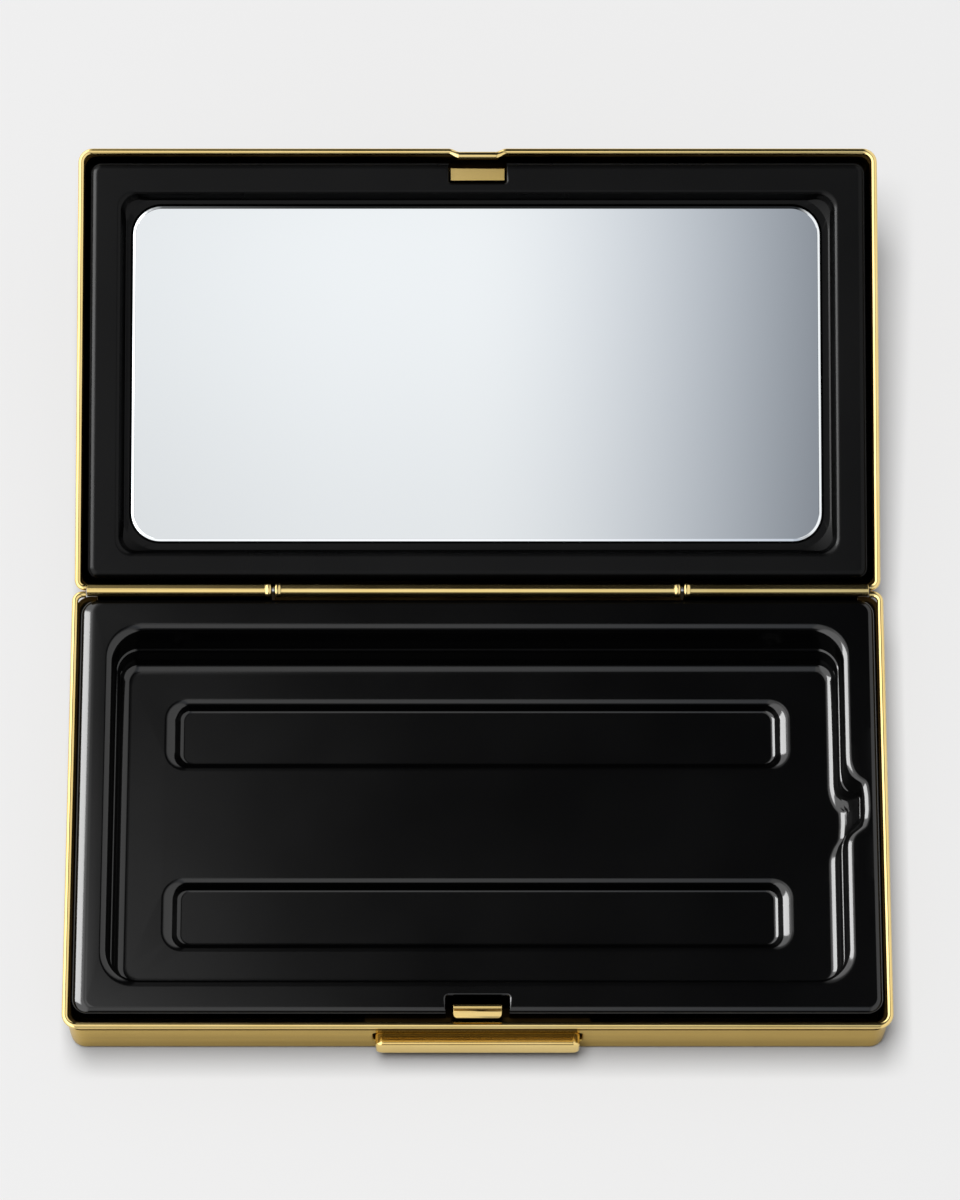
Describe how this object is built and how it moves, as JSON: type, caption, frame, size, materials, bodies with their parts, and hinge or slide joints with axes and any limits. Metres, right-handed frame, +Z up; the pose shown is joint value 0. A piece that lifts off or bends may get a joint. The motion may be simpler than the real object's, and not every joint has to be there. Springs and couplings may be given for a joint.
{
  "type": "makeup compact",
  "caption": "Slim rectangular brass compact with an empty black refill tray, a mirror lid on a rolled barrel hinge and a press latch.",
  "frame": {"origin": "centre of the base's underside", "axes": "+Z up, -Y towards the latch and the user, +Y towards the hinge, +X to the user's right; the lid rests open at its stop"},
  "size_m": [0.1, 0.1112, 0.0229],
  "materials": {
    "case_brass": "polished",
    "latch_brass": "polished",
    "tray_black": "satin gloss moulding",
    "strip_steel": "plain sheet",
    "spring_steel": "drawn wire",
    "pin_steel": "ground",
    "mirror_silver": "silvered glass with a ground edge",
    "tape_foam": "foam tape"
  },
  "bodies": {
    "base": {"base_shell": "case_brass", "base_rim": "case_brass", "base_tray": "tray_black", "magnet_strip_front": "strip_steel", "magnet_strip_rear": "strip_steel", "base_knuckle_left": "case_brass", "base_knuckle_right": "case_brass", "hinge_pin": "pin_steel", "latch_bracket": "strip_steel", "latch_rivet_left": "strip_steel", "latch_rivet_right": "strip_steel", "latch_spring_left": "spring_steel", "latch_spring_right": "spring_steel"},
    "lid": {"lid_shell": "case_brass", "lid_rim": "case_brass", "lid_frame": "tray_black", "mirror_glass": "mirror_silver", "mirror_tape": "tape_foam", "lid_knuckle": "case_brass", "lid_catch": "latch_brass"},
    "latch": {"thumb_button": "latch_brass", "latch_slide": "strip_steel", "latch_hook": "latch_brass"}
  },
  "joints": [
    {"name": "lid_hinge", "type": "hinge", "parent": "base", "child": "lid", "pos_m": [0, 0.0277, 0.01165], "axis": [1, 0, 0], "range_deg": [0, 168]},
    {"name": "latch_press", "type": "slide", "parent": "base", "child": "latch", "axis": [0, 1, 0], "range_m": [0, 0.001], "stiffness_N_per_m": 600, "springref_m": -0.0005, "deforming": ["latch_spring_left", "latch_spring_right"]}
  ]
}
